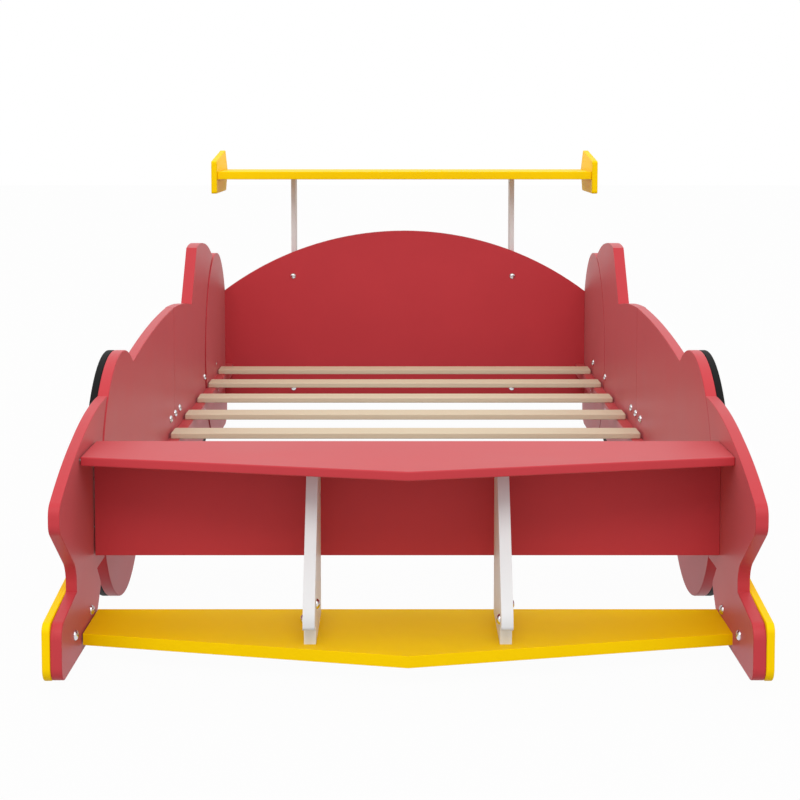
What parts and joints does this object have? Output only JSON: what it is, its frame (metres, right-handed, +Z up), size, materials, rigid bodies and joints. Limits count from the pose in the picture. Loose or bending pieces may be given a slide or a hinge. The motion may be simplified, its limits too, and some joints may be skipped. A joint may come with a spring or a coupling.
{
  "type": "car bed for children",
  "caption": "Children's bed shaped like a race car: painted boards with wheel discs, fins, front shelves, rear spoiler and a slatted mattress base.",
  "frame": {"origin": "on the floor, in the middle of the bed's overall box", "axes": "+Z up, +Y from the nose to the headboard, +X to the right seen from the nose"},
  "size_m": [1.08, 2.389, 0.7575],
  "materials": {
    "red_board": "smooth red laminated board",
    "yellow_board": "smooth yellow laminated board",
    "white_board": "smooth white laminated board",
    "black_board": "smooth black laminated board",
    "slat_wood": "bare planed softwood",
    "zinc_steel": "zinc plated steel"
  },
  "bodies": {
    "root": {"nose_panel_l": "red_board", "nose_panel_r": "red_board", "front_side_panel_l": "red_board", "front_side_panel_r": "red_board", "rear_side_panel_l": "red_board", "rear_side_panel_r": "red_board", "tail_panel_l": "red_board", "tail_panel_r": "red_board", "headboard": "red_board", "footboard": "red_board", "top_shelf": "red_board", "side_rail_l": "red_board", "side_rail_r": "red_board", "seam_plate_l": "red_board", "seam_plate_r": "red_board", "fin_plate_l": "red_board", "fin_plate_r": "red_board", "lower_shelf": "yellow_board", "spoiler_wing": "yellow_board", "spoiler_end_plate_l": "yellow_board", "spoiler_end_plate_r": "yellow_board", "nose_end_plate_l": "yellow_board", "nose_end_plate_r": "yellow_board", "shelf_divider_l": "white_board", "shelf_divider_r": "white_board", "spoiler_post_l": "white_board", "spoiler_post_r": "white_board", "front_hub_l": "white_board", "front_hub_r": "white_board", "rear_hub_l": "white_board", "rear_hub_r": "white_board", "front_wheel_l": "black_board", "front_wheel_r": "black_board", "rear_wheel_l": "black_board", "rear_wheel_r": "black_board", "slat_1": "slat_wood", "slat_2": "slat_wood", "slat_3": "slat_wood", "slat_4": "slat_wood", "slat_5": "slat_wood", "slat_6": "slat_wood", "slat_7": "slat_wood", "slat_8": "slat_wood", "front_wheel_bolts": "zinc_steel", "rear_wheel_bolts": "zinc_steel", "seam_bolts": "zinc_steel", "nose_bolts": "zinc_steel", "headboard_bolts": "zinc_steel", "footboard_bolts": "zinc_steel", "divider_cams": "zinc_steel", "divider_bolts": "zinc_steel", "spoiler_post_screws": "zinc_steel"}
  },
  "joints": []
}
